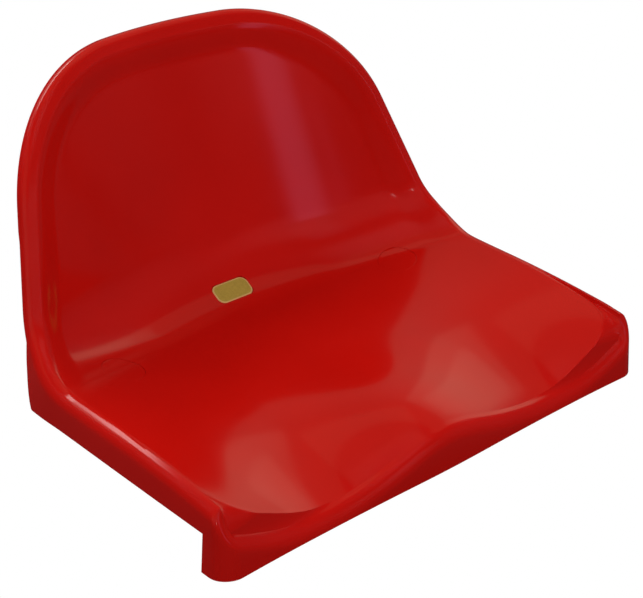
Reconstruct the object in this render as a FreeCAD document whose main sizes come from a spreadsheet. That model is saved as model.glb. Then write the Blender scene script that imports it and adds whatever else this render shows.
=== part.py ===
import FreeCAD, Part
import os
from math import sin, cos, tan, atan2, hypot, radians, degrees, pi, sqrt, exp
from re import sub

# Stadium seat shell, fixed from above on two studs of the terrace.
# X to the viewer's right, front at -Y, Z up. The origin lies midway between the two fixings,
# level with the bottom edge of the side skirts.
# Every driving size stands once in this table, in mm or degrees.
SIZES = [
    ("dish_half_width", 202.8, "centre line to the dish edge along the sides"),
    ("waist_half_width", 206.7, "centre line to the dish edge where the back begins"),
    ("dish_front", -222.2, "front dish edge, y"),
    ("dish_corner_radius", 33.0, "front corner of the dish edge, plan"),
    ("side_height", 27.5, "dish edge above the base at the sides"),
    ("side_sweep_radius", 56.5, "side edge sweeping up into the back"),
    ("back_lean", 14.2, "back from upright, degrees"),
    ("side_back_foot", -5.6, "side edge of the back carried down to z = 0, y"),
    ("pan_height", 5.8, "pan floor on the centre line"),
    ("centre_back_lean", 16.8, "centre line of the back from upright, degrees"),
    ("centre_sweep_radius", 65.0, "pan floor sweeping up into the back on the centre line"),
    ("centre_back_foot", 44.8, "centre line of the back carried down to z = 0, y"),
    ("waist_radius", 158.0, "outline easing inwards where the back begins"),
    ("shoulder_half_width", 150.0, "outline corner at the shoulder, half width"),
    ("shoulder_run", 166.0, "outline corner at the shoulder, length up the back"),
    ("shoulder_radius", 129.5, "outline corner radius at the shoulder"),
    ("crown_rise", 10.5, "outline tip at the crown, above the shoulder corners"),
    ("bolster_start", 87.6, "half width where the side bolster starts to rise"),
    ("bolster_power", 1.67, "how late the bolster rises"),
    ("fall_start", -95.0, "pan starts to fall to the front, y"),
    ("fall_depth", 26.4, "fall of the thigh channels at the front edge"),
    ("fall_power", 2.0, "how late the channels fall"),
    ("pommel_height", 22.3, "ridge between the thigh channels"),
    ("pommel_half_width", 63.5, "half width of that ridge"),
    ("pommel_start", -95.0, "ridge starts to rise, y"),
    ("rim_rise", 5.0, "raised rim of the back above its dish"),
    ("rim_width", 24.0, "width of that raised rim"),
    ("ridge_radius", 4.6, "dish edge, first rounding"),
    ("edge_radius", 10.0, "outer edge of the pan, second rounding"),
    ("edge_radius_back", 8.4, "outer edge of the back, second rounding"),
    ("rim_run_side", 12.7, "rim from the dish edge to the side face"),
    ("rim_run_back", 12.4, "rim from the dish edge to the outside of the back"),
    ("band_slope_side", 8.0, "band between the two roundings, sides, degrees"),
    ("band_slope_front", 10.0, "same band, front, degrees"),
    ("band_slope_back", 19.0, "same band, back, degrees"),
    ("corner_radius", 14.0, "front corner of the outer face, plan"),
    ("back_flange", 3.0, "flange behind the back beyond its rounding"),
    ("rear_depth", 4.0, "side skirt behind the side edge of the back"),
    ("skirt_draft", 4.3, "skirt leaning outwards, degrees"),
    ("apron_drop", 31.0, "front apron below the base"),
    ("notch_line", -213.0, "apron return ends here, y"),
    ("wall", 4.2, "wall thickness"),
    ("fix_half_spacing", 147.0, "fixing holes from the centre line"),
    ("fix_y", -20.0, "fixing holes, y"),
    ("hole_diameter", 9.0, "hole for an M8 stud"),
    ("pocket_radius", 14.0, "fixing pocket"),
    ("pocket_floor", 2.5, "bottom wall of the fixing pocket"),
    ("boss_wall", 3.2, "wall round the cap seat"),
    ("cap_radius", 17.2, "fixing cap"),
    ("cap_thickness", 2.2, "fixing cap"),
    ("cap_sink", 0.7, "cap face below the pan at its middle"),
    ("cap_gap", 0.2, "cap to its seat"),
    ("plate_width", 36.0, "number plate along X"),
    ("plate_length", 19.0, "number plate up the slope"),
    ("plate_thickness", 1.2, "number plate"),
    ("plate_corner", 5.0, "number plate corner radius"),
    ("plate_proud", 0.6, "plate face above the pan at its middle"),
    ("plate_glue", 0.3, "adhesive film under the plate"),
    ("plate_gap", 0.35, "plate to its recess"),
    ("rib", 3.0, "underside ribs"),
    ("rib_inner", 38.0, "inner pair of ribs from the centre line"),
    ("rib_outer", 92.0, "outer pair of ribs from the centre line"),
    ("stud_bore", 4.1, "bore radius over an M8 thread"),
    ("seal_radius", 11.0, "rubber sealing washer"),
    ("seal_thickness", 1.0, "rubber sealing washer"),
    ("washer_radius", 10.0, "flat washer"),
    ("washer_thickness", 1.6, "flat washer"),
    ("nut_flats", 13.0, "M8 nut across flats"),
    ("nut_height", 3.4, "hexagon of the lock nut"),
    ("nut_collar", 0.8, "collar of the lock nut"),
    ("cap_plug", 1.6, "ring under the cap that centres it in the pocket"),
]
V = {name: value for name, value, note in SIZES}


def smooth(t):
    # 0 to 1 with level ends
    t = min(max(t, 0.0), 1.0)
    return t * t * (3 - 2 * t)


def part_of(t):
    return min(max(t, 0.0), 1.0)


def add(a, b, k=1.0):
    return (a[0] + k * b[0], a[1] + k * b[1], a[2] + k * b[2])


def dot(a, b):
    return a[0] * b[0] + a[1] * b[1] + a[2] * b[2]


def cross(a, b):
    return (a[1] * b[2] - a[2] * b[1], a[2] * b[0] - a[0] * b[2], a[0] * b[1] - a[1] * b[0])


def unit(a):
    n = sqrt(dot(a, a)) or 1.0
    return (a[0] / n, a[1] / n, a[2] / n)


class Form:
    # Two side-view curves, line, arc, line: one on the centre line, one along the dish edge.
    # A run value s walks along them: below 0 on the pan, then through the arc, then up the back.
    def __init__(self, v):
        self.v = v
        self.lean = radians(v["back_lean"])
        self.turn = pi / 2 - self.lean
        self.side = self.curve(v["side_height"], v["side_back_foot"], v["side_sweep_radius"],
                               self.lean)
        self.centre = self.curve(v["pan_height"], v["centre_back_foot"],
                                 v["centre_sweep_radius"], radians(v["centre_back_lean"]))
        self.arc = v["side_sweep_radius"] * self.turn
        self.front_run = v["dish_front"] - self.side["y"]
        self.trace_rim()

    def curve(self, height, foot, radius, lean):
        corner = foot + tan(lean) * height
        turn = pi / 2 - lean
        return {"y": corner - radius * tan(turn / 2), "z": height, "r": radius,
                "lean": lean, "turn": turn}

    def on_curve(self, c, s):
        if s <= 0:
            f = s / self.front_run
            return c["y"] + f * (self.v["dish_front"] - c["y"]), c["z"]
        a = min(s / self.arc, 1.0) * c["turn"]
        d = max(s - self.arc, 0.0)
        y = c["y"] + c["r"] * sin(a) + d * sin(c["lean"])
        return y, c["z"] + c["r"] * (1 - cos(a)) + d * cos(c["lean"])

    def trace_rim(self):
        # Dish edge in the unrolled sheet (x, run): a rounded polygon of five corners.
        v = self.v
        w = v["dish_half_width"]
        f = self.front_run
        base = self.arc
        half = [(w, f, v["dish_corner_radius"]),
                (v["waist_half_width"], base * 0.35, v["waist_radius"]),
                (v["shoulder_half_width"], base + v["shoulder_run"], v["shoulder_radius"])]
        crown = (0.0, base + v["shoulder_run"] + v["crown_rise"], None)
        pts = half + [crown] + [(-x, s, r) for x, s, r in half[::-1]]
        n = len(pts)
        turns = []
        for i in range(n):
            a, b, c = pts[i - 1], pts[i], pts[(i + 1) % n]
            l1 = hypot(b[0] - a[0], b[1] - a[1])
            l2 = hypot(c[0] - b[0], c[1] - b[1])
            u1 = ((b[0] - a[0]) / l1, (b[1] - a[1]) / l1)
            u2 = ((c[0] - b[0]) / l2, (c[1] - b[1]) / l2)
            ang = atan2(u1[0] * u2[1] - u1[1] * u2[0], u1[0] * u2[0] + u1[1] * u2[1])
            turns.append([u1, u2, ang, l1, l2])
        rad = [p[2] for p in pts]
        # the crown arc takes all of the top edge that the shoulder arcs leave
        sh = rad[2] * tan(abs(turns[2][2]) / 2)
        rad[3] = (turns[3][3] - sh) / tan(abs(turns[3][2]) / 2)
        self.path = []
        last = None
        cuts = []
        for i in range(n):
            u1, u2, ang, l1, l2 = turns[i]
            t = rad[i] * tan(abs(ang) / 2)
            p1 = (pts[i][0] - u1[0] * t, pts[i][1] - u1[1] * t)
            p2 = (pts[i][0] + u2[0] * t, pts[i][1] + u2[1] * t)
            cuts.append((p1, p2))
        for i in range(n):
            u1, u2, ang, l1, l2 = turns[i]
            p1, p2 = cuts[i]
            q = cuts[i - 1][1]
            run = hypot(p1[0] - q[0], p1[1] - q[1])
            self.path.append(("line", q, u1, run))
            mid = (p1[0] - u1[1] * rad[i], p1[1] + u1[0] * rad[i])
            start = atan2(p1[1] - mid[1], p1[0] - mid[0])
            self.path.append(("arc", mid, (start, rad[i]), rad[i] * ang))
        self.total = sum(q[3] for q in self.path)

    def rim(self, d):
        # point of the dish edge and its outward direction, both in the unrolled sheet
        d = d % self.total
        for kind, a, b, run in self.path:
            if d <= run:
                break
            d -= run
        d = min(d, run)
        if kind == "line":
            return a[0] + b[0] * d, a[1] + b[1] * d, b[1], -b[0]
        t = b[0] + d / b[1]
        return a[0] + b[1] * cos(t), a[1] + b[1] * sin(t), cos(t), sin(t)

    def surface(self, x, s, gap):
        # Sitting surface at half width x and run s; gap is the distance in from the dish edge.
        v = self.v
        yc, zc = self.on_curve(self.centre, s)
        ys, zs = self.on_curve(self.side, s)
        up = smooth((s + 40) / (self.arc + 40))
        ax = abs(x)
        pan = part_of((ax - v["bolster_start"]) / (v["dish_half_width"] - v["bolster_start"]))
        pan = pan ** v["bolster_power"]
        back = (ax / v["dish_half_width"]) ** 2
        g = pan * (1 - up) + back * up
        y = yc + (ys - yc) * g
        z = zc + (zs - zc) * g
        t = part_of((v["fall_start"] - y) / (v["fall_start"] - v["dish_front"]))
        ease = 1 - 0.55 * smooth((ax / v["dish_half_width"] - 0.59) / 0.42)
        z -= v["fall_depth"] * t ** v["fall_power"] * ease
        t = part_of((v["pommel_start"] - y) / (v["pommel_start"] - v["dish_front"]))
        z += v["pommel_height"] * smooth(t) * exp(-(ax / v["pommel_half_width"]) ** 2)
        rise = v["rim_rise"] * smooth((s + 10) / 60) * smooth(1 - gap / v["rim_width"])
        a = self.turn * smooth(s / self.arc)
        y -= rise * sin(a)
        z += rise * cos(a)
        return (x, y, z)

    def inside(self, d, rho, hub):
        # point a share rho of the way from the hub to the dish edge
        x, s, nx, ns = self.rim(d)
        px = hub[0] + rho * (x - hub[0])
        ps = hub[1] + rho * (s - hub[1])
        gap = (1 - rho) * ((x - hub[0]) * nx + (s - hub[1]) * ns)
        return self.surface(px, ps, gap)

    def section(self, d, hub, rhos, n_ridge=2, n_edge=4, n_skirt=4):
        # one line of points from the hub over the rim to the free edge of the skirt
        v = self.v
        c = self.inside(d, 1.0, hub)
        t = unit(add(self.inside(d + 0.5, 1.0, hub), self.inside(d - 0.5, 1.0, hub), -1))
        o = add(c, self.inside(d, 0.995, hub), -1)
        o = unit(add(o, t, -dot(o, t)))
        x, s, nx, ns = self.rim(d)
        a = self.turn * part_of(s / self.arc)
        up = smooth((s - self.arc * 0.2) / (self.arc * 0.8))
        out = (nx, ns * cos(a), ns * sin(a))
        along = (-ns, nx * cos(a), nx * sin(a))
        top = (0.0, -sin(a), cos(a))
        # width of the rim outside the dish edge, and the slide that squares up the front corners
        front = max(-ns, 0.0) ** 2 if s < -40 else 0.0
        run = v["rim_run_side"] * (1 - up) + v["rim_run_back"] * up
        slide = 0.0
        if s < -40:
            spare = v["rim_run_side"] + v["dish_corner_radius"] - v["corner_radius"]
            side = 1 if nx > 0 else -1
            if abs(nx) > 0.999:
                reach = s - (self.front_run + v["dish_corner_radius"])
                slide = -side * spare * smooth(1 - reach / 110)
            elif abs(ns) > 0.999:
                side = 1 if x > 0 else -1
                reach = v["dish_half_width"] - v["dish_corner_radius"] - abs(x)
                slide = side * spare * smooth(1 - reach / 130)
            else:
                run = spare * (abs(nx) - ns) + v["corner_radius"] - v["dish_corner_radius"]
                slide = -side * spare * (abs(nx) + ns)
        f = radians(v["band_slope_side"] * (1 - front) + v["band_slope_front"] * front)
        f = f * (1 - up) + radians(v["band_slope_back"]) * up
        r1 = v["ridge_radius"]
        r2 = v["edge_radius"] * (1 - up) + v["edge_radius_back"] * up
        down = unit((out[0] * cos(f) - top[0] * sin(f), out[1] * cos(f) - top[1] * sin(f),
                     out[2] * cos(f) - top[2] * sin(f)))
        rows = [self.inside(d, q, hub) for q in rhos] + [c]
        # first rounding, from the dish surface to the sloping band
        first = atan2(sqrt(max(1 - dot(o, down) ** 2, 0.0)), dot(o, down))
        n = unit(add(down, o, -dot(o, down)))
        mid = add(c, n, r1)
        for i in range(1, n_ridge + 1):
            b = first * i / n_ridge
            rows.append(add(add(mid, n, -r1 * cos(b)), o, r1 * sin(b)))
        p = rows[-1]
        done = dot(add(p, c, -1), out)
        level = run - r2 * (1 - sin(f)) - done
        p = add(add(p, out, level), top, -level * tan(f))
        p = add(p, along, slide)
        rows.append(p)
        # second rounding, from the band to the skirt
        lean = radians(v["skirt_draft"])
        n1 = add((top[0] * cos(f), top[1] * cos(f), top[2] * cos(f)), out, sin(f))
        mid = add(p, n1, -r2)
        ang = pi / 2 - f - lean
        for i in range(1, n_edge + 1):
            b = ang * i / n_edge
            rows.append(add(add(mid, n1, r2 * cos(b)), down, r2 * sin(b)))
        k = add((-top[0] * cos(lean), -top[1] * cos(lean), -top[2] * cos(lean)), out, sin(lean))
        end = rows[-1]
        length = self.skirt_length(end, k, end[1], s)
        for i in range(1, n_skirt + 1):
            rows.append(add(end, k, length * i / n_skirt))
        return rows

    def skirt_length(self, end, k, y, s):
        # down to the base or the apron on the pan, back to the rear line along the sweep
        v = self.v
        far = 400.0
        low = -v["apron_drop"] - 3
        low = low + (-3 - low) * smooth((y + 185) / 30)
        down = (end[2] - low) / -k[2] if k[2] < -0.05 else far
        tl = tan(self.lean)
        slope = k[1] - tl * k[2]
        rear = far
        if slope > 0.05:
            rear = (v["side_back_foot"] + v["rear_depth"] + tl * end[2] - end[1]) / slope
        if s > self.arc:
            fade = smooth((s - self.arc) / 60)
            rear = v["back_flange"] if rear == far else rear + (v["back_flange"] - rear) * fade
        short = min(down, rear)
        if max(down, rear) < far:
            short -= 3 * exp(-abs(down - rear) / 6)
        return max(short, 2.0)


doc = FreeCAD.newDocument("stadium_seat")
form = Form(V)
# blunter copy of the form for the inside of the wall, so its corners keep a radius
inner_form = Form(dict(V, ridge_radius=V["ridge_radius"] + 2, edge_radius=V["edge_radius"] - 1))
# the hub of the skins lies under the number plate
HUB = (0.0, 30.0)
AROUND = 96
STEPS = [0.03, 0.12, 0.22, 0.32, 0.42, 0.52, 0.62, 0.71, 0.79, 0.86, 0.92, 0.97]


def vec(p):
    # the form counts y from the rear corner of the skirts, the part from its fixings
    return FreeCAD.Vector(p[0], p[1] - V["fix_y"], p[2])


def skin_normals(grid):
    # unit normals of a grid closed round its first index, pointing to the sitter's side
    n = len(grid)
    m = len(grid[0])
    out = []
    for i in range(n):
        line = []
        for j in range(m):
            du = add(grid[(i + 1) % n][j], grid[i - 1][j], -1)
            ahead = unit(add(grid[i][min(j + 1, m - 1)], grid[i][min(j, m - 2)], -1))
            behind = unit(add(grid[i][max(j, 1)], grid[i][max(j - 1, 0)], -1))
            line.append(unit(cross(du, add(ahead, behind))))
        out.append(line)
    if out[0][3][2] < 0:
        return [[(-q[0], -q[1], -q[2]) for q in line] for line in out]
    return out


def closed_skin(grid):
    # smooth surface closed round the rim, open at the hub and at the free edge
    n = len(grid)
    m = len(grid[0])
    surf = Part.BSplineSurface()
    poles = [[vec(p) for p in line] for line in grid]
    surf.buildFromPolesMultsKnots(poles, [1] * (n + 1), [4] + [1] * (m - 4) + [4],
                                  list(range(n + 1)), list(range(m - 2)), True, False, 3, 3)
    return surf


def edge_ring(surf, last):
    # closed boundary curve of a skin, at the hub or at the free edge
    u0, u1, v0, v1 = surf.bounds()
    return surf.vIso(v1 if last else v0).toShape()


def skin_grid(shape, middle, normal):
    # sections round the rim, with the ring round the hub laid on one plane
    grid = [shape.section(shape.total * i / AROUND, HUB, STEPS) for i in range(AROUND)]
    for line in grid:
        p = line[0]
        line[0] = add(p, normal, -dot(add(p, middle, -1), normal))
    return grid


def shell_skin():
    middle = form.surface(HUB[0], HUB[1], 99)
    a = form.surface(0, HUB[1] - 1, 99)
    b = form.surface(0, HUB[1] + 1, 99)
    normal = unit((0.0, -(b[2] - a[2]), b[1] - a[1]))
    top = skin_grid(form, middle, normal)
    base = skin_grid(inner_form, middle, normal)
    normals = skin_normals(base)
    for line in normals:
        line[0] = normal
    under = [[add(p, q, -V["wall"]) for p, q in zip(a, b)] for a, b in zip(base, normals)]
    faces = []
    rings = []
    for grid in (top, under):
        surf = closed_skin(grid)
        faces.append(surf.toShape())
        rings.append(edge_ring(surf, True))
        faces.append(Part.Face(Part.Wire([edge_ring(surf, False)])))
    faces.append(Part.makeRuledSurface(rings[0], rings[1]))
    shell = Part.makeShell(faces)
    shell.sewShape()
    solid = Part.makeSolid(shell if shell.ShapeType == "Shell" else shell.Shells[0])
    if solid.Volume < 0:
        solid.reverse()
    return solid


def rib_plate(x):
    # upright rib under the pan, from inside the apron wall to short of the fixings
    top = []
    low = []
    count = 8
    for i in range(count):
        s = form.front_run + 1 + 150.0 * i / (count - 1)
        p = form.surface(x, s, s - form.front_run)
        z = p[2] - V["wall"] / 2
        depth = 12 - 8.5 * smooth((i - count + 3) / 2.0)
        top.append(vec((x - V["rib"] / 2, p[1], z)))
        low.append(vec((x - V["rib"] / 2, p[1], z - depth)))
    nose = V["dish_front"] - V["rim_run_side"] - V["wall"] / 2 + 5
    start = vec((x - V["rib"] / 2, nose, form.surface(x, form.front_run, 0)[2] - 8))
    foot = vec((x - V["rib"] / 2, nose, min(low[0].z + V["wall"], start.z - 4)))
    lower = Part.BSplineCurve()
    lower.interpolate([foot] + low)
    upper = Part.makePolygon([foot, start] + top + [low[-1]])
    face = Part.Face(Part.Wire(upper.Edges + [lower.toShape()]))
    return face.extrude(FreeCAD.Vector(V["rib"], 0, 0))


def pan_at(x, y):
    # height of the pan over a place in plan, found along the run
    low = form.front_run
    high = form.arc
    for step in range(40):
        s = (low + high) / 2
        p = form.surface(x, s, 99)
        if p[1] < y:
            low = s
        else:
            high = s
    return p[2]


# each cap lies square to the pan over its fixing, leaning inwards and forwards
cap_x = V["fix_half_spacing"]
cap_y = V["fix_y"]
rise_x = (pan_at(cap_x + 8, cap_y) - pan_at(cap_x - 8, cap_y)) / 16
rise_y = (pan_at(cap_x, cap_y + 8) - pan_at(cap_x, cap_y - 8)) / 16
cap_normal = unit((-rise_x, -rise_y, 1.0))
cap_lean = degrees(atan2(hypot(rise_x, rise_y), 1.0))
# the plate lies on the pan at the hub
plate_seat = form.surface(HUB[0], HUB[1], 99)
seat_low = form.surface(HUB[0], HUB[1] - 6, 99)
seat_high = form.surface(HUB[0], HUB[1] + 6, 99)
DERIVED = [
    ("plate_y", plate_seat[1] - V["fix_y"], "middle of the number plate"),
    ("plate_z", plate_seat[2], "middle of the number plate"),
    ("plate_slope", degrees(atan2(seat_high[2] - seat_low[2], seat_high[1] - seat_low[1])),
     "slope of the pan under the plate"),
    ("cap_z", pan_at(cap_x, cap_y), "pan over each fixing"),
    ("cap_nx", cap_normal[0], "square to the pan there, on the right"),
    ("cap_ny", cap_normal[1], "square to the pan there"),
    ("cap_nz", cap_normal[2], "square to the pan there"),
    ("cap_lean", cap_lean, "cap from level, degrees"),
]

sheet = doc.addObject("Spreadsheet::Sheet", "Sizes")
for row, (name, value, note) in enumerate(SIZES + DERIVED, 1):
    sheet.set("A%d" % row, name)
    sheet.set("B%d" % row, "%.6g" % value)
    sheet.set("C%d" % row, note)
    sheet.setAlias("B%d" % row, name)
doc.recompute()


def named(text):
    # sheet names in a formula get the sheet's own prefix
    for name, value, note in sorted(SIZES + DERIVED, key=lambda e: -len(e[0])):
        text = sub(r"(?<![\w.])%s\b" % name, "Sizes." + name, text)
    return text


def part(kind, name, **formulas):
    obj = doc.addObject(kind, name)
    obj.Label = name
    for prop, text in formulas.items():
        obj.setExpression(prop, named(text))
    return obj


def place(obj, x="0", y="0", z="0"):
    for axis, text in (("x", x), ("y", y), ("z", z)):
        obj.setExpression("Placement.Base." + axis, named("(%s) * 1 mm" % text))
    return obj


def solid(name, shape):
    obj = doc.addObject("Part::Feature", name)
    obj.Label = name
    obj.Shape = shape
    return obj


def disc(name, radius, height, x="0", y="0", z="0"):
    return place(part("Part::Cylinder", name, Radius=radius, Height=height), x, y, z)


def fuse(name, *shapes):
    obj = doc.addObject("Part::MultiFuse", name)
    obj.Label = name
    obj.Shapes = list(shapes)
    return obj


def cut(name, base, tool):
    obj = doc.addObject("Part::Cut", name)
    obj.Label = name
    obj.Base = base
    obj.Tool = tool
    return obj


def rounded_slab(name, width, length, height, corner, lift, rim):
    # rounded rectangle lying on the slope at the plate's seat, its underside at the given lift
    box = part("Part::Box", name + "_block", Length=width, Width=length, Height=height)
    doc.recompute()
    upright = [i for i, e in enumerate(box.Shape.Edges, 1)
               if abs(e.Vertexes[0].Z - e.Vertexes[1].Z) > 0.01]
    last = doc.addObject("Part::Fillet", name + "_corners")
    last.Base = box
    last.Edges = [(i, corner, corner) for i in upright]
    doc.recompute()
    if rim:
        high = max(v.Z for v in last.Shape.Vertexes)
        top = [i for i, e in enumerate(last.Shape.Edges, 1)
               if min(v.Z for v in e.Vertexes) > high - 0.01]
        bevel = doc.addObject("Part::Chamfer", name + "_bevel")
        bevel.Base = last
        bevel.Edges = [(i, rim, rim) for i in top]
        last = bevel
    last.Label = name
    across = "(%s) / 2" % length
    tilt = FreeCAD.Rotation(FreeCAD.Vector(1, 0, 0), 30)
    last.Placement = FreeCAD.Placement(FreeCAD.Vector(), tilt)
    last.setExpression("Placement.Rotation.Angle", named("plate_slope * 1 deg"))
    place(last, "-(%s) / 2" % width,
          "plate_y - %s * cos(plate_slope * 1 deg) - (%s) * sin(plate_slope * 1 deg)" % (across, lift),
          "plate_z - %s * sin(plate_slope * 1 deg) + (%s) * cos(plate_slope * 1 deg)" % (across, lift))
    return last


def square_to_pan(obj, side, depth):
    # stand an upright piece on the pan's slope over a fixing, its foot at a depth below the pan
    sign = -1 if side == "left" else 1
    axis = FreeCAD.Vector(-cap_normal[1], sign * cap_normal[0], 0)
    turned = FreeCAD.Rotation(axis, 20)
    obj.Placement = FreeCAD.Placement(FreeCAD.Vector(), turned)
    obj.setExpression("Placement.Rotation.Angle", named("cap_lean * 1 deg"))
    across = "%d * (fix_half_spacing - cap_nx * (%s))" % (sign, depth)
    return place(obj, across, "-cap_ny * (%s)" % depth, "cap_z - cap_nz * (%s)" % depth)


# moulded shell
seat_cap = "cap_radius + cap_gap"
seat_depth = "cap_sink + cap_thickness"
adds = [solid("skin", shell_skin())]
cuts = []
for side, sign in (("left", "-"), ("right", "")):
    x = sign + "fix_half_spacing"
    post = disc("boss_post_" + side, seat_cap + " + boss_wall", "40", x)
    above = square_to_pan(disc("boss_above_" + side, "60", "60"), side, "wall * 0.3")
    adds.append(cut("boss_" + side, post, above))
    cuts.append(disc("hole_" + side, "hole_diameter / 2", "20", x, "0", "-5"))
    high = "cap_z + 0.6 - pocket_floor"
    cuts.append(disc("pocket_" + side, "pocket_radius", high, x, "0", "pocket_floor"))
    cuts.append(square_to_pan(disc("cap_seat_" + side, seat_cap, "20"), side, seat_depth))
    # the side skirt ends level behind the notch of the front apron
    low = part("Part::Box", "below_skirt_" + side, Length="100", Width="500", Height="100")
    edge = "-(dish_half_width - 18) - 100" if side == "left" else "dish_half_width - 18"
    cuts.append(place(low, edge, "notch_line - fix_y", "-100"))
rib_lines = [("outer_left", -V["rib_outer"]), ("inner_left", -V["rib_inner"]),
             ("inner_right", V["rib_inner"]), ("outer_right", V["rib_outer"])]
for name, x in rib_lines:
    adds.append(solid("rib_" + name, rib_plate(x)))
cuts.append(place(part("Part::Box", "below_apron", Length="600", Width="700", Height="100"),
                  "-300", "-400", "-100 - apron_drop"))
cuts.append(rounded_slab("plate_recess", "plate_width + 2 * plate_gap", "plate_length + 2 * plate_gap",
                         "8", V["plate_corner"] + V["plate_gap"],
                         "plate_proud - plate_thickness - plate_glue", 0))
seat_shell = cut("seat_shell", fuse("shell_body", *adds), fuse("shell_cuts", *cuts))

# number plate and its adhesive film
number_plate = rounded_slab("number_plate", "plate_width", "plate_length", "plate_thickness",
                            V["plate_corner"], "plate_proud - plate_thickness", 0.4)
plate_adhesive = rounded_slab("plate_adhesive", "plate_width - 2", "plate_length - 2", "plate_glue",
                              V["plate_corner"] - 1, "plate_proud - plate_thickness - plate_glue", 0)

# fixing set on each side: sealing washer, flat washer, lock nut and cap
nodes = [seat_shell, number_plate, plate_adhesive]


def washer(name, radius, bore, height, x, z):
    whole = disc(name + "_disc", radius, height)
    hole = disc(name + "_bore", bore, height + " + 2", "0", "0", "-1")
    return place(cut(name, whole, hole), x, "0", z)


for side, sign in (("left", "-"), ("right", "")):
    x = sign + "fix_half_spacing"
    nodes.append(washer("sealing_washer_" + side, "seal_radius", "stud_bore + 0.2",
                        "seal_thickness", x, "pocket_floor"))
    nodes.append(washer("flat_washer_" + side, "washer_radius", "stud_bore + 0.1",
                        "washer_thickness", x, "pocket_floor + seal_thickness"))
    hexagon = part("Part::Prism", "nut_blank_" + side, Circumradius="nut_flats / 2 / cos(30 deg)",
                   Height="nut_height")
    hexagon.Polygon = 6
    collar = disc("nut_collar_" + side, "nut_flats / 2 - 0.6", "nut_height + nut_collar")
    blank = fuse("nut_body_" + side, hexagon, collar)
    bore = disc("nut_bore_" + side, "stud_bore", "30", "0", "0", "-5")
    nodes.append(place(cut("lock_nut_" + side, blank, bore), x, "0",
                       "pocket_floor + seal_thickness + washer_thickness"))
    cap_disc = disc("cap_disc_" + side, "cap_radius", "cap_thickness")
    doc.recompute()
    top = [i for i, e in enumerate(cap_disc.Shape.Edges, 1)
           if abs(e.BoundBox.ZMin - V["cap_thickness"]) < 0.01 and e.BoundBox.XLength > 1]
    eased = doc.addObject("Part::Fillet", "cap_eased_" + side)
    eased.Base = cap_disc
    eased.Edges = [(i, 0.6, 0.6) for i in top]
    plug = disc("cap_plug_" + side, "pocket_radius - 2", "cap_plug", "0", "0", "-cap_plug")
    hollow = disc("cap_hollow_" + side, "pocket_radius - 3.4", "cap_plug", "0", "0", "-cap_plug")
    cap = cut("fixing_cap_" + side, fuse("cap_body_" + side, eased, plug), hollow)
    nodes.append(square_to_pan(cap, side, seat_depth))

doc.recompute()
for obj in doc.Objects:
    if "Invalid" in obj.State or "Error" in obj.State:
        raise RuntimeError(obj.Name + " failed: " + str(obj.State))
os.makedirs("parts", exist_ok=True)
for obj in nodes:
    shape = obj.Shape
    if shape.isNull() or not shape.isValid():
        raise RuntimeError(obj.Label + " is not a valid shape")
    box = shape.BoundBox
    print("%-22s solids %d  volume %9.1f  x %.1f..%.1f  y %.1f..%.1f  z %.1f..%.1f" % (
        obj.Label, len(shape.Solids), shape.Volume, box.XMin, box.XMax, box.YMin, box.YMax,
        box.ZMin, box.ZMax))
    shape.exportStep("parts/%s.step" % obj.Label)
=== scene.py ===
import bpy
import bmesh
import numpy as np
from math import radians, sin, cos, pi
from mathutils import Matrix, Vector


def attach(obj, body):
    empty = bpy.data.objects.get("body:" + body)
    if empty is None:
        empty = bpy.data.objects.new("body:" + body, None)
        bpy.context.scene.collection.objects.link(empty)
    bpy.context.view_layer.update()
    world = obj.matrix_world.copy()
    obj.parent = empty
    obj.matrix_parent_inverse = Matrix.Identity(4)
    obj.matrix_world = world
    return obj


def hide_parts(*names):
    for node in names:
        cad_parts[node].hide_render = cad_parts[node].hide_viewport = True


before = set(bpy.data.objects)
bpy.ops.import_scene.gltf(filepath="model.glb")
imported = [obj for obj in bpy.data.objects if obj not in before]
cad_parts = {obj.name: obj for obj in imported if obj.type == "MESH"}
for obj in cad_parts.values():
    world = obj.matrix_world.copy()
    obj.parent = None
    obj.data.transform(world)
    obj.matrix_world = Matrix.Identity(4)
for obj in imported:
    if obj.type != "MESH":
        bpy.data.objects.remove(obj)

mm = 0.001


def saveSize():
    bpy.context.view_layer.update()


saveSize()
print("frame loaded")

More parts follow.
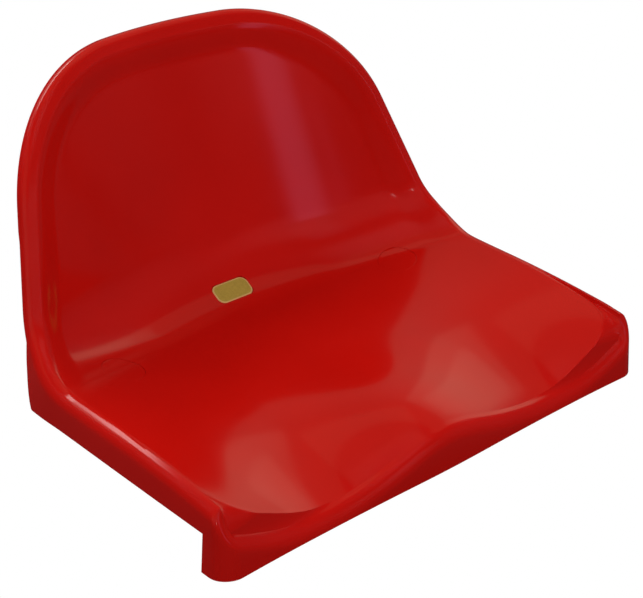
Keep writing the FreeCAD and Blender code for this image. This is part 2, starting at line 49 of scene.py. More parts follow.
# measures of the moulding in mm and degrees, y counted from the rear corner of the skirts; a run
# is a way along the unrolled sheet, forwards below zero, up the sweep and the back above it
shellForm = {
    # edge of the dish in the unrolled sheet
    "dishHalf": 202.8, "dishFront": -222.2, "dishCorner": 33.0,
    "waistHalf": 206.7, "waistRadius": 158.0, "waistShare": 0.35,
    "shoulderHalf": 150.0, "shoulderRun": 166.0, "shoulderRadius": 129.5, "crownRise": 10.5,
    # side view of the dish edge and of the centre line
    "sideHeight": 27.5, "sideSweep": 56.5, "backLean": 14.2, "sideFoot": -5.6,
    "panHeight": 5.8, "centreSweep": 65.0, "centreLean": 16.8, "centreFoot": 44.8, "panEnd": -40.0,
    # bolsters at the sides, the fall to the front and its easing there, the pommel between the legs
    "bolsterStart": 87.6, "bolsterPower": 1.67,
    "fallStart": -95.0, "fallDepth": 26.4, "fallPower": 2.0,
    "fallEase": 0.55, "easeStart": 0.59, "easeWidth": 0.42,
    "pommelStart": -95.0, "pommelHeight": 22.3, "pommelHalf": 63.5,
    # rise towards the rim on the back
    "rimRise": 5.0, "rimWidth": 24.0, "riseStart": -10.0, "riseRun": 60.0,
    # rim: inner rounding, band with its slope, outer rounding and corner
    "ridge": 4.6, "ridgeSoft": 3.0, "edge": 10.0, "edgeFront": 13.0, "edgeBack": 8.4,
    "runSide": 12.7, "runBack": 12.4, "bandSide": 8.0, "bandFront": 20.0, "bandBack": 19.0,
    "bandLeast": 0.5, "backShare": 0.2, "corner": 14.0, "slideSide": 110.0, "slideFront": 130.0,
    # skirts and apron
    "draft": 4.3, "apron": 31.0, "apronEnd": -185.0, "apronFade": 30.0, "notch": -213.0,
    "rearDepth": 4.0, "flange": 3.0, "flangeFade": 60.0, "skirtPast": 3.0, "skirtLeast": 2.0,
    # wall, whose inner skin has blunter roundings, and fixings
    "wall": 4.2, "underRidge": 2.0, "underEdge": 1.0, "fixHalf": 147.0, "fixY": -20.0,
    # points of the grid: round the rim, and from the hub outwards
    "hubRun": 30.0, "around": 600, "firstRow": 0.03, "denseFrom": 0.84, "wideRows": 40,
    "denseRows": 14, "ridgeRows": 6, "bandRows": 3, "edgeRows": 8, "skirtRows": 6,
}


def smooth(t):
    # nought to one with level ends
    t = np.clip(t, 0, 1)
    return t * t * (3 - 2 * t)


def unit(a):
    return a / np.maximum(np.linalg.norm(a, axis=-1, keepdims=True), 1e-12)


def dot(a, b):
    return np.sum(a * b, axis=-1, keepdims=True)


def swept(f, s, height, foot, radius, lean):
    # side view of one line of the shell: level pan, arc, straight back, walked by the run s
    lean = radians(lean)
    turn = pi / 2 - lean
    arc = f["arc"]
    y0 = foot + np.tan(lean) * height - radius * np.tan(turn / 2)
    a = np.clip(s / arc, 0, 1) * turn
    d = np.maximum(s - arc, 0)
    y = y0 + radius * np.sin(a) + d * np.sin(lean)
    z = height + radius * (1 - np.cos(a)) + d * np.cos(lean)
    ahead = s / f["frontRun"]
    y = np.where(s <= 0, y0 + ahead * (f["dishFront"] - y0), y)
    return y, z


def sitting(f, x, s, gap):
    # sitting surface at half width x and run s, gap being the distance in from the dish edge: the
    # centre line blended into the side line, less the fall, plus the pommel and the rise to the rim
    yc, zc = swept(f, s, f["panHeight"], f["centreFoot"], f["centreSweep"], f["centreLean"])
    ys, zs = swept(f, s, f["sideHeight"], f["sideFoot"], f["sideSweep"], f["backLean"])
    up = smooth((s - f["panEnd"]) / (f["arc"] - f["panEnd"]))
    ax = np.abs(x)
    back = np.clip((s - f["frontRun"]) / (f["arc"] * f["waistShare"] - f["frontRun"]), 0, 1)
    half = f["dishHalf"] + (f["waistHalf"] - f["dishHalf"]) * back
    bolster = np.clip((ax - f["bolsterStart"]) / (half - f["bolsterStart"]), 0, 1)
    side = bolster ** f["bolsterPower"] * (1 - up) + (ax / f["dishHalf"]) ** 2 * up
    y = yc + (ys - yc) * side
    z = zc + (zs - zc) * side
    t = np.clip((f["fallStart"] - y) / (f["fallStart"] - f["dishFront"]), 0, 1)
    ease = 1 - f["fallEase"] * smooth((ax / f["dishHalf"] - f["easeStart"]) / f["easeWidth"])
    z = z - f["fallDepth"] * t ** f["fallPower"] * ease
    t = (f["pommelStart"] - y) / (f["pommelStart"] - f["dishFront"])
    z = z + f["pommelHeight"] * smooth(t) * np.exp(-(ax / f["pommelHalf"]) ** 2)
    rise = f["rimRise"] * smooth((s - f["riseStart"]) / f["riseRun"]) * smooth(1 - gap / f["rimWidth"])
    a = f["turn"] * smooth(s / f["arc"])
    y = y - rise * np.sin(a)
    z = z + rise * np.cos(a)
    return np.stack([x + 0 * z, y, z], axis=-1)


def rimPath(f):
    # dish edge in the unrolled sheet: a polygon of seven corners with a rounding at each, the one
    # at the crown being as large as the shoulders leave room for
    base = f["arc"]
    right = [(f["dishHalf"], f["frontRun"], f["dishCorner"]),
             (f["waistHalf"], base * f["waistShare"], f["waistRadius"]),
             (f["shoulderHalf"], base + f["shoulderRun"], f["shoulderRadius"])]
    crown = (0.0, base + f["shoulderRun"] + f["crownRise"], 0.0)
    ring = right + [crown] + [(-x, s, r) for x, s, r in right[::-1]]
    p = np.array([q[:2] for q in ring])
    rad = np.array([q[2] for q in ring])
    into = p - np.roll(p, 1, axis=0)
    length = np.linalg.norm(into, axis=1)
    u1 = into / length[:, None]
    u2 = np.roll(u1, -1, axis=0)
    turn = np.arctan2(u1[:, 0] * u2[:, 1] - u1[:, 1] * u2[:, 0], np.sum(u1 * u2, axis=1))
    reach = np.tan(np.abs(turn) / 2)
    rad[3] = (length[3] - rad[2] * reach[2]) / reach[3]
    start = p - u1 * (rad * reach)[:, None]
    stop = p + u2 * (rad * reach)[:, None]
    path = []
    for i in range(len(p)):
        path.append(("line", stop[i - 1], u1[i], np.linalg.norm(start[i] - stop[i - 1])))
        mid = start[i] + rad[i] * np.array([-u1[i, 1], u1[i, 0]])
        first = np.arctan2(*(start[i] - mid)[::-1])
        path.append(("arc", mid, (first, rad[i]), rad[i] * turn[i]))
    return path


def rimAt(f, d):
    # point of the dish edge and its outward direction in the sheet, at the distance d along it
    d = np.mod(d, f["total"])
    x, s, nx, ns = (np.zeros_like(d) for _ in range(4))
    start = 0.0
    for kind, a, b, run in f["path"]:
        here = (d >= start) & (d <= start + run)
        t = d[here] - start
        if kind == "line":
            x[here], s[here] = a[0] + b[0] * t, a[1] + b[1] * t
            nx[here], ns[here] = b[1], -b[0]
        else:
            t = b[0] + t / b[1]
            x[here], s[here] = a[0] + b[1] * np.cos(t), a[1] + b[1] * np.sin(t)
            nx[here], ns[here] = np.cos(t), np.sin(t)
        start += run
    return x, s, nx, ns


def prepared(settings, **changes):
    # the measures with what follows from them: sweep, front run, path of the dish edge and the
    # centre of the moulding's outer corner, which is an arc shifted from that of the dish corner
    f = dict(settings, **changes)
    f["turn"] = pi / 2 - radians(f["backLean"])
    f["arc"] = f["sideSweep"] * f["turn"]
    corner = f["sideFoot"] + np.tan(radians(f["backLean"])) * f["sideHeight"]
    f["frontRun"] = f["dishFront"] - (corner - f["sideSweep"] * np.tan(f["turn"] / 2))
    f["path"] = rimPath(f)
    f["total"] = sum(q[3] for q in f["path"])
    mid, (_, rad) = f["path"][1][1:3]
    ahead, side = f["waistHalf"] - f["dishHalf"], f["arc"] * f["waistShare"] - f["frontRun"]
    ahead, side = ahead / np.hypot(ahead, side), side / np.hypot(ahead, side)
    f["spare"] = f["runSide"] + rad - f["corner"]
    f["spareX"] = f["spare"] * (1 - ahead) / side
    f["sideStart"] = f["spare"] * side - f["spareX"] * ahead
    f["cornerX"], f["cornerS"] = mid[0], mid[1] - rad * ahead
    return f


def inside(f, d, rho):
    # points a share rho of the way from the hub to the dish edge
    x, s, nx, ns = rimAt(f, d)
    px = rho * x
    ps = f["hubRun"] + rho * (s - f["hubRun"])
    return sitting(f, px, ps, (1 - rho) * (x * nx + (s - f["hubRun"]) * ns))


def bandPlan(f, x, s, nx, ns, up):
    # how far the moulding's outer line lies out from the dish edge, and how far it slides along it:
    # nought but near the front corners, where the two lead from one corner arc to the other
    pan = s < f["panEnd"]
    ahead = pan & (s < f["cornerS"])
    bend = ahead & (np.abs(x) > f["cornerX"])
    front = ahead & (np.abs(x) <= f["cornerX"])
    run = f["runSide"] * (1 - up) + f["runBack"] * up
    run = np.where(bend, f["spareX"] * np.abs(nx) - f["spare"] * ns + f["corner"] - f["dishCorner"], run)
    slide = -f["sideStart"] * smooth(1 - (s - f["cornerS"]) / f["slideSide"])
    level = f["spareX"] * smooth(1 - (f["cornerX"] - np.abs(x)) / f["slideFront"])
    slide = np.where(front, level, slide)
    slide = np.where(bend, -f["spareX"] * ns - f["spare"] * np.abs(nx), slide)
    slide = np.where(pan, np.where(x > 0, 1, -1) * slide, 0)
    return run[:, None], slide[:, None]


def sections(f):
    # one line of points per place round the rim: dish, rounding, sloping band, rounding, skirt
    d = f["total"] * np.arange(f["around"]) / f["around"]
    rhos = np.concatenate([np.linspace(f["firstRow"], f["denseFrom"], f["wideRows"], endpoint=False),
                           np.linspace(f["denseFrom"], 1, f["denseRows"], endpoint=False)])
    c = inside(f, d, 1.0)
    rows = [inside(f, d, q) for q in rhos] + [c]
    t = unit(inside(f, d + 0.5, 1.0) - inside(f, d - 0.5, 1.0))
    o = c - inside(f, d, 0.995)
    o = unit(o - t * dot(o, t))
    # outward, along and upward directions of the sheet, turned with the sweep
    x, s, nx, ns = rimAt(f, d)
    a = f["turn"] * np.clip(s / f["arc"], 0, 1)
    out = np.stack([nx, ns * np.cos(a), ns * np.sin(a)], -1)
    along = np.stack([-ns, nx * np.cos(a), nx * np.sin(a)], -1)
    top = np.stack([0 * a, -np.sin(a), np.cos(a)], -1)
    # shares of back and front at each place blend the measures of sides, back and front
    up = smooth((s - f["arc"] * f["backShare"]) / (f["arc"] * (1 - f["backShare"])))
    front = np.where(s < f["panEnd"], smooth(np.maximum(-ns, 0)), 0)
    run, slide = bandPlan(f, x, s, nx, ns, up)
    fall = np.radians(f["bandSide"] * (1 - front) + f["bandFront"] * front)
    fall = (fall * (1 - up) + radians(f["bandBack"]) * up)[:, None]
    r1 = (f["ridge"] + f["ridgeSoft"] * (1 - up))[:, None]
    r2 = (f["edge"] * (1 - up) + f["edgeBack"] * up + (f["edgeFront"] - f["edge"]) * front)[:, None]
    # inner rounding, from the dish's own direction into that of the band
    down = unit(out * np.cos(fall) - top * np.sin(fall))
    first = np.arctan2(np.sqrt(np.maximum(1 - dot(o, down) ** 2, 0)), dot(o, down))
    n1 = unit(down - o * dot(o, down))
    mid = c + n1 * r1
    for i in range(1, f["ridgeRows"] + 1):
        b = first * i / f["ridgeRows"]
        rows.append(mid - n1 * r1 * np.cos(b) + o * r1 * np.sin(b))
    # band
    p = rows[-1]
    width = np.maximum(run - r2 * (1 - np.sin(fall)) - dot(p - c, out), f["bandLeast"])
    q = p + out * width - top * width * np.tan(fall) + along * slide
    for i in range(1, f["bandRows"] + 1):
        rows.append(p + (q - p) * i / f["bandRows"])
    # outer rounding down into the skirt, then the skirt
    lean = radians(f["draft"])
    n2 = top * np.cos(fall) + out * np.sin(fall)
    mid = q - n2 * r2
    for i in range(1, f["edgeRows"] + 1):
        b = (pi / 2 - fall - lean) * i / f["edgeRows"]
        rows.append(mid + n2 * r2 * np.cos(b) + down * r2 * np.sin(b))
    end = rows[-1]
    k = out * np.sin(lean) - top * np.cos(lean)
    length = skirtLength(f, end, k, s)[:, None]
    for i in range(1, f["skirtRows"] + 1):
        rows.append(end + k * length * i / f["skirtRows"])
    return np.stack(rows, axis=1)


def skirtLength(f, end, k, s):
    # way along k to just past the base or the apron, or to the rear line where that is nearer, the
    # change between them rounded; up the back it fades into the flange
    far, level = 400.0, 0.05  # a way that is never the nearer one, and a slope too small to use
    y, z = end[:, 1], end[:, 2]
    low = -f["apron"] - f["skirtPast"]
    low = low + (-f["skirtPast"] - low) * smooth((y - f["apronEnd"]) / f["apronFade"])
    down = np.where(k[:, 2] < -level, (z - low) / np.minimum(k[:, 2], -level) * -1, far)
    tl = np.tan(radians(f["backLean"]))
    slope = k[:, 1] - tl * k[:, 2]
    toRear = f["sideFoot"] + f["rearDepth"] + tl * z - y
    rear = np.where(slope > level, toRear / np.maximum(slope, level), far)
    fade = smooth((s - f["arc"]) / f["flangeFade"])
    back = np.where(rear >= far, f["flange"], rear + (f["flange"] - rear) * fade)
    rear = np.where(s > f["arc"], back, rear)
    both = np.maximum(down, rear) < far
    short = np.minimum(down, rear) - np.where(both, 3 * np.exp(-np.abs(down - rear) / 6), 0)
    return np.maximum(short, f["skirtLeast"])


def gridNormals(grid):
    # unit normals of a grid closed round its first axis, towards the sitter
    du = np.roll(grid, -1, 0) - np.roll(grid, 1, 0)
    step = unit(grid[:, 1:] - grid[:, :-1])
    dv = np.concatenate([step[:, :1], step[:, 1:] + step[:, :-1], step[:, -1:]], axis=1)
    nrm = unit(np.cross(du, dv))
    return nrm if nrm[0, 3, 2] > 0 else -nrm


def addMesh(name, verts, faces):
    # a finished piece, verts in mm
    mesh = bpy.data.meshes.new(name)
    mesh.from_pydata((verts * mm).tolist(), [], faces)
    mesh.validate()
    mesh.update()
    obj = bpy.data.objects.new(name, mesh)
    bpy.context.scene.collection.objects.link(obj)
    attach(obj, "root")
    return obj


def recalcNormals(mesh):
    bm = bmesh.new()
    bm.from_mesh(mesh)
    bmesh.ops.remove_doubles(bm, verts=bm.verts, dist=1e-7)
    bmesh.ops.recalc_face_normals(bm, faces=bm.faces)
    bm.to_mesh(mesh)
    bm.free()


# the form as prepared once, for the shell and for all that lies on it
seatForm = prepared(shellForm)


def buildShell():
    # closed skin: the sections above, a blunter set of them moved down by the wall below, a fan at
    # the hub of each, and a strip that joins their lower edges
    f = seatForm
    blunt = prepared(shellForm, ridge=f["ridge"] + f["underRidge"], edge=f["edge"] - f["underEdge"],
                     edgeFront=f["edgeFront"] - f["underEdge"])
    upper = sections(f)
    base = sections(blunt)
    under = base - gridNormals(base) * f["wall"]
    n, m = upper.shape[:2]
    upperHub = sitting(f, np.array([0.0]), np.array([f["hubRun"]]), np.array([99.0]))
    underHub = under[:, 0].mean(0)[None, :]
    verts = np.concatenate([upper.reshape(-1, 3), under.reshape(-1, 3), upperHub, underHub])
    verts = verts + np.array([0, -f["fixY"], 0])
    i, j = np.meshgrid(np.arange(n), np.arange(m - 1), indexing="ij")
    i2 = (i + 1) % n
    quads = np.stack([i * m + j, i * m + j + 1, i2 * m + j + 1, i2 * m + j], -1).reshape(-1, 4)
    low = quads[:, ::-1] + n * m
    k = np.arange(n)
    k2 = (k + 1) % n
    foot, foot2 = k * m + m - 1, k2 * m + m - 1
    strip = np.stack([foot, foot + n * m, foot2 + n * m, foot2], -1)
    hub = k * 0 + 2 * n * m
    fans = [np.stack([hub, k * m, k2 * m], -1), np.stack([hub + 1, k2 * m + n * m, k * m + n * m], -1)]
    faces = sum((part.tolist() for part in (quads, low, strip, *fans)), [])
    shell = addMesh("shell", verts, faces)
    recalcNormals(shell.data)
    return shell


shell = buildShell()
print("shell skin", len(shell.data.polygons))


def tempMesh(name, verts, faces):
    # a cutting tool or the floor, verts in metres
    mesh = bpy.data.meshes.new(name)
    mesh.from_pydata(np.asarray(verts).tolist(), [], faces)
    mesh.update()
    obj = bpy.data.objects.new(name, mesh)
    bpy.context.scene.collection.objects.link(obj)
    return obj


def ringFaces(layers, count):
    # quads between closed rings of equally many points, ring after ring
    layer, i = np.meshgrid(np.arange(layers - 1), np.arange(count), indexing="ij")
    a, b = layer * count + i, layer * count + (i + 1) % count
    return np.stack([a, b, b + count, a + count], -1).reshape(-1, 4).tolist()


def endFaces(layers, count):
    # the first ring turned over and the last one as it is, to close a stack of rings
    last = (layers - 1) * count
    return [list(range(count))[::-1], list(range(last, last + count))]


def circleAbout(axis, sides):
    # unit circle square to an axis that is upright or nearly so
    across = unit(np.cross((0.0, 1.0, 0.0), axis))
    a = 2 * pi * np.arange(sides)[:, None] / sides
    return np.cos(a) * across + np.sin(a) * np.cross(axis, across)


def boxTool(name, low, high):
    corners = [(x, y, z) for x in (low[0], high[0]) for y in (low[1], high[1]) for z in (low[2], high[2])]
    faces = [(0, 1, 3, 2), (4, 6, 7, 5), (0, 4, 5, 1), (2, 3, 7, 6), (0, 2, 6, 4), (1, 5, 7, 3)]
    return tempMesh(name, np.array(corners) * mm, faces)


def rodTool(name, foot, axis, radius, length, sides=96):
    # round bar from its foot along an axis
    axis = unit(np.array(axis, float))
    ring = foot + radius * circleAbout(axis, sides)
    verts = np.concatenate([ring, ring + axis * length]) * mm
    return tempMesh(name, verts, ringFaces(2, sides) + endFaces(2, sides))


def roundedOutline(width, length, corner, steps=10):
    # rounded rectangle about the origin, anticlockwise: a quarter circle about each corner's centre
    a = pi / 2 * (np.arange(4)[:, None] + np.arange(steps + 1) / steps)
    sx, sy = np.array([(1, 1), (-1, 1), (-1, -1), (1, -1)]).T[:, :, None]
    return np.stack([sx * (width / 2 - corner) + corner * np.cos(a),
                     sy * (length / 2 - corner) + corner * np.sin(a)], -1).reshape(-1, 2)


def carve(target, tool, how):
    # one exact boolean, applied at once, after which its tool is gone
    mod = target.modifiers.new("carve", "BOOLEAN")
    mod.operation = how
    mod.solver = "EXACT"
    mod.object = tool
    graph = bpy.context.evaluated_depsgraph_get()
    made = bpy.data.meshes.new_from_object(target.evaluated_get(graph), depsgraph=graph)
    target.modifiers.clear()
    old = target.data
    target.data = made
    bpy.data.meshes.remove(old)
    bpy.data.objects.remove(tool)


# number plate and its recess: it lies on the slope at the hub, in the part's frame
plate = {"width": 36.6, "length": 19.4, "thick": 1.2, "corner": 6.8, "proud": 0.6, "glue": 0.3,
         "bevel": 1.3, "bevelDrop": 0.5, "bevelSteps": 8, "bevelPast": 0.15,
         "recessWidth": 36.7, "recessLength": 19.7, "recessCorner": 5.35, "recessTop": 8.0}
hubPoints = sitting(seatForm, np.zeros(3), shellForm["hubRun"] + np.array([-6.0, 0, 6]), np.full(3, 99.0))
plate["y"] = hubPoints[1, 1] - shellForm["fixY"]
plate["z"] = hubPoints[1, 2]
rise = hubPoints[2] - hubPoints[0]
plate["slope"] = float(np.arctan2(rise[2], rise[1]))


def onSlope(points, lift):
    # outline points laid on the slope at the plate's seat, raised along its normal, in mm
    c, s = np.cos(plate["slope"]), np.sin(plate["slope"])
    x, v = points[:, 0], points[:, 1]
    return np.stack([x, plate["y"] + v * c - lift * s, plate["z"] + v * s + lift * c], -1)


def slabMesh(rings):
    # closed body from a stack of outlines (points, lift), bottom first
    verts = np.concatenate([onSlope(points, lift) for points, lift in rings])
    layers, count = len(rings), len(rings[0][0])
    return verts, ringFaces(layers, count) + endFaces(layers, count)


# bosses, ribs and openings under the pan, in mm in the part's frame
underside = {"skirtIn": 184.8, "notch": shellForm["notch"] - shellForm["fixY"],
             "bossRadius": 20.6, "bossDepth": 1.26, "seatRadius": 17.4, "seatDepth": 2.9,
             "seatReach": 8.0, "pocket": 14.0, "floor": 2.5, "pocketPast": 0.6, "hole": 4.5,
             "ribs": (-92, -38, 38, 92), "rib": 3.0, "ribRun": 150.0, "ribPoints": 16,
             "ribDeep": 12.0, "ribLoss": 8.5, "noseIn": 5.0, "noseDrop": 8.0, "noseLeast": 4.0}


def panAt(x, y):
    # heights of the pan over places in plan, y in the form's frame, found by halving the run
    low, high = x * 0 + seatForm["frontRun"], x * 0 + seatForm["arc"]
    for step in range(40):
        s = (low + high) / 2
        p = sitting(seatForm, x, s, x * 0 + 99)
        short = p[:, 1] < y
        low, high = np.where(short, s, low), np.where(short, high, s)
    return p[:, 2]


def capPlaces():
    # each cap lies square to the pan over its fixing, leaning inwards and forwards
    fixX, fixY, reach = shellForm["fixHalf"], shellForm["fixY"], underside["seatReach"]
    z = panAt(fixX + reach * np.array([0, -1, 1, 0, 0]), fixY + reach * np.array([0, 0, 0, -1, 1]))
    lean = np.array([z[1] - z[2], z[3] - z[4], 2 * reach])
    return {"Left": (np.array([-fixX, 0, z[0]]), unit(lean * (-1, 1, 1))),
            "Right": (np.array([fixX, 0, z[0]]), unit(lean))}


capSeats = capPlaces()


def ribTool(x):
    # upright rib under the pan, its top inside the wall, its foot a smooth line below that rises
    # over the last two sevenths; its nose ends behind the apron
    f, u = seatForm, underside
    share = np.arange(u["ribPoints"]) / (u["ribPoints"] - 1)
    s = f["frontRun"] + 1 + u["ribRun"] * share
    p = sitting(f, 0 * s + x, s, s - f["frontRun"])
    z = p[:, 2] - f["wall"] / 2
    depth = u["ribDeep"] - u["ribLoss"] * smooth((share * 7 - 5) / 2)
    nose = f["dishFront"] - f["runSide"] - f["wall"] / 2 + u["noseIn"]
    edge = sitting(f, np.array([float(x)]), np.array([f["frontRun"]]), np.array([0.0]))[0, 2] - u["noseDrop"]
    foot = min(z[0] - depth[0] + f["wall"], edge - u["noseLeast"])
    upper = np.concatenate([[[nose, edge]], np.stack([p[:, 1], z], -1)])
    lower = np.concatenate([[[nose, foot]], np.stack([p[:, 1], z - depth], -1)])
    loop = np.concatenate([lower, upper[::-1]])
    loop[:, 0] -= f["fixY"]
    n = len(loop)
    i = np.arange(n)
    j = (i + 1) % n
    faces = np.stack([i, i + n, j + n, j], -1).tolist() + endFaces(2, n)
    faces[n:] = [face[::-1] for face in faces[n:]]
    sides = [np.insert(loop, 0, x + side * u["rib"] / 2, axis=1) for side in (-1, 1)]
    return tempMesh("ribTool", np.concatenate(sides) * mm, faces)


def trimBelow(obj, z):
    # level cut, everything below it goes and the wall's section is closed
    bm = bmesh.new()
    bm.from_mesh(obj.data)
    everything = bm.verts[:] + bm.edges[:] + bm.faces[:]
    made = bmesh.ops.bisect_plane(bm, geom=everything, plane_co=(0, 0, z * mm), plane_no=(0, 0, 1),
                                  clear_inner=True)
    rim = [e for e in made["geom_cut"] if isinstance(e, bmesh.types.BMEdge)]
    bmesh.ops.triangle_fill(bm, edges=rim, use_beauty=True, use_dissolve=False)
    bmesh.ops.recalc_face_normals(bm, faces=bm.faces)
    bm.to_mesh(obj.data)
    bm.free()


def finishShell(shell):
    # bosses and ribs are added, then the skirts are cut level and the openings made, each with a
    # tool that reaches well past what it cuts
    u, upright = underside, (0, 0, 1)
    trimBelow(shell, -shellForm["apron"])
    for middle, normal in capSeats.values():
        boss = rodTool("boss", middle * (1, 1, 0), upright, u["bossRadius"], 40)
        above = rodTool("above", middle - normal * u["bossDepth"], normal, 60, 60)
        carve(boss, above, "DIFFERENCE")
        carve(shell, boss, "UNION")
    for x in u["ribs"]:
        carve(shell, ribTool(x), "UNION")
    for side in (-1, 1):
        xs = sorted((side * u["skirtIn"], side * 300))
        carve(shell, boxTool("base", (xs[0], u["notch"], -100), (xs[1], 300, 0)), "DIFFERENCE")
    for middle, normal in capSeats.values():
        axle = middle * (1, 1, 0)
        floor = np.array([0, 0, u["floor"]])
        tall = middle[2] + u["pocketPast"] - u["floor"]
        foot = middle - normal * u["seatDepth"]
        carve(shell, rodTool("hole", axle - (0, 0, 5), upright, u["hole"], 20), "DIFFERENCE")
        carve(shell, rodTool("pocket", axle + floor, upright, u["pocket"], tall), "DIFFERENCE")
        carve(shell, rodTool("seat", foot, normal, u["seatRadius"], 20), "DIFFERENCE")
    wide = roundedOutline(plate["recessWidth"], plate["recessLength"], plate["recessCorner"])
    low = plate["proud"] - plate["thick"] - plate["glue"]
    verts, faces = slabMesh([(wide, low), (wide, plate["recessTop"])])
    carve(shell, tempMesh("recess", verts * mm, faces), "DIFFERENCE")


finishShell(shell)
print("shell carved", len(shell.data.polygons))
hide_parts("seat_shell")


def shadeSmooth(obj, degrees):
    # smooth faces, with a hard line at each edge that bends by more than the angle
    obj.data.polygons.foreach_set("use_smooth", np.ones(len(obj.data.polygons), bool))
    obj.data.update()
    sharp = obj.data.attributes.get("sharp_edge") or obj.data.attributes.new("sharp_edge", "BOOLEAN", "EDGE")
    bm = bmesh.new()
    bm.from_mesh(obj.data)
    bm.edges.ensure_lookup_table()
    flags = [len(e.link_faces) == 2 and e.calc_face_angle(0) > radians(degrees) for e in bm.edges]
    bm.free()
    sharp.data.foreach_set("value", np.array(flags))
    obj.data.update()


shadeSmooth(shell, 30)


def buildPlate():
    # gold plate: straight side, quarter round up to the flat face; "rim" marks all but the face, for the
    # bevel's polish and painted highlight
    w, l, c = plate["width"], plate["length"], plate["corner"]
    high, drop = plate["proud"], plate["bevelDrop"]

    def ring(inset, lift):
        return roundedOutline(w - 2 * inset, l - 2 * inset, c - inset), lift

    rings = [ring(0, high - plate["thick"]), ring(0, high - drop)]
    for i in range(1, plate["bevelSteps"] + 1):
        a = pi / 2 * i / plate["bevelSteps"]
        rings.append(ring(plate["bevel"] * (1 - np.cos(a)), high - drop + drop * np.sin(a)))
    rings.append(ring(plate["bevel"] + plate["bevelPast"], high))
    verts, faces = slabMesh(rings)
    obj = addMesh("plate", verts, faces)
    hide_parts("number_plate")
    marks = obj.data.attributes.new("rim", "FLOAT", "POINT")
    marks.data.foreach_set("value", np.repeat([1.0] * (len(rings) - 1) + [0.0], len(rings[0][0])))
    shadeSmooth(obj, 40)
    return obj


plateObj = buildPlate()
print("plate")

# caps over the fixings
cap = {"radius": 17.32, "thick": 2.2, "sink": 0.15, "ease": 0.3, "easeSteps": 8, "plug": 12.0,
       "hollow": 10.6, "plugDeep": 1.6, "topRings": 8, "sides": 128, "liftMost": 2.0}


def buildCap(side):
    # flush cap in its seat: plug ring below, quarter round at the rim and a closed top, turned about
    # its axis; rim and top are then lifted on to the pan, so that the cap lies flush all round
    middle, normal = capSeats[side]
    top = -cap["sink"]
    base = top - cap["thick"]
    deep = base - cap["plugDeep"]
    flat = cap["radius"] - cap["ease"]
    a = pi / 2 * np.arange(cap["easeSteps"] + 1) / cap["easeSteps"]
    inner = np.linspace(flat, 0, cap["topRings"] + 1)[1:-1]
    profile = np.concatenate([
        [(cap["hollow"], base), (cap["hollow"], deep), (cap["plug"], deep), (cap["plug"], base),
         (cap["radius"], base)],
        np.stack([flat + cap["ease"] * np.cos(a), top - cap["ease"] * (1 - np.sin(a))], -1),
        np.stack([inner, inner * 0 + top], -1)])
    r, z = profile.T[:, :, None, None]
    bare = middle + r * circleAbout(normal, cap["sides"])
    pan = panAt(bare[..., 0].ravel(), bare[..., 1].ravel() + shellForm["fixY"])
    lift = np.clip(pan.reshape(bare.shape[:2]) - bare[..., 2], -cap["liftMost"], cap["liftMost"])
    lift = np.where(profile[:, 1:] > base, lift, 0)
    points = bare + z * normal + lift[..., None] * normal[2] * normal
    ends = [middle + top * normal, middle + base * normal]
    verts = np.concatenate([points.reshape(-1, 3), ends])
    i = np.arange(cap["sides"])
    j = (i + 1) % cap["sides"]
    last = (len(profile) - 1) * cap["sides"]
    faces = ringFaces(len(profile), cap["sides"])
    faces += np.stack([last + i, last + j, i * 0 + len(verts) - 2], -1).tolist()
    faces += np.stack([j, i, i * 0 + len(verts) - 1], -1).tolist()
    obj = addMesh("cap" + side, verts, faces)
    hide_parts("fixing_cap_" + side.lower())
    recalcNormals(obj.data)
    shadeSmooth(obj, 35)
    return obj


caps = [buildCap("Left"), buildCap("Right")]
print("caps")


class Wire:
    # a value in a node tree, so that shader sums read as sums
    def __init__(self, tree, socket):
        self.tree = tree
        self.socket = socket

    def maths(self, how, other):
        node = self.tree.nodes.new("ShaderNodeMath")
        node.operation = how
        for place, value in enumerate((self, other)):
            if isinstance(value, Wire):
                self.tree.links.new(value.socket, node.inputs[place])
            else:
                node.inputs[place].default_value = value
        return Wire(self.tree, node.outputs[0])

    def __add__(self, other):
        return self.maths("ADD", other)

    def __sub__(self, other):
        return self.maths("SUBTRACT", other)

    def __mul__(self, other):
        return self.maths("MULTIPLY", other)

    def into(self, node, name):
        self.tree.links.new(self.socket, node.inputs[name])


def newMaterial(name):
    mat = bpy.data.materials.new(name)
    mat.use_nodes = True
    tree = mat.node_tree
    return mat, tree, tree.nodes["Principled BSDF"]


def noise(tree, scale, detail, roughness=0.5):
    # noise in the object's own coordinates
    coords = tree.nodes.new("ShaderNodeTexCoord")
    node = tree.nodes.new("ShaderNodeTexNoise")
    node.inputs["Scale"].default_value = scale
    node.inputs["Detail"].default_value = detail
    node.inputs["Roughness"].default_value = roughness
    tree.links.new(coords.outputs["Object"], node.inputs["Vector"])
    return Wire(tree, node.outputs["Fac"])


def ramp(tree, value, darker, lighter):
    # darker up to 0.3 of the value, lighter from 0.7
    node = tree.nodes.new("ShaderNodeValToRGB")
    for element, place, colour in zip(node.color_ramp.elements, (0.3, 0.7), (darker, lighter)):
        element.position = place
        element.color = (*colour, 1)
    value.into(node, "Fac")
    return Wire(tree, node.outputs["Color"])


def bump(tree, shader, height, strength, distance):
    node = tree.nodes.new("ShaderNodeBump")
    node.inputs["Strength"].default_value = strength
    node.inputs["Distance"].default_value = distance
    height.into(node, "Height")
    tree.links.new(node.outputs["Normal"], shader.inputs["Normal"])


redFinish = {"darker": (0.36, 0.003, 0.0014), "lighter": (0.4, 0.0036, 0.0018), "cloudScale": 9,
             "fineScale": 60, "roughness": 0.1, "roughSpread": 0.05, "ior": 1.48,
             "waveScale": 16, "waveStrength": 0.12, "waveDistance": 0.0006}


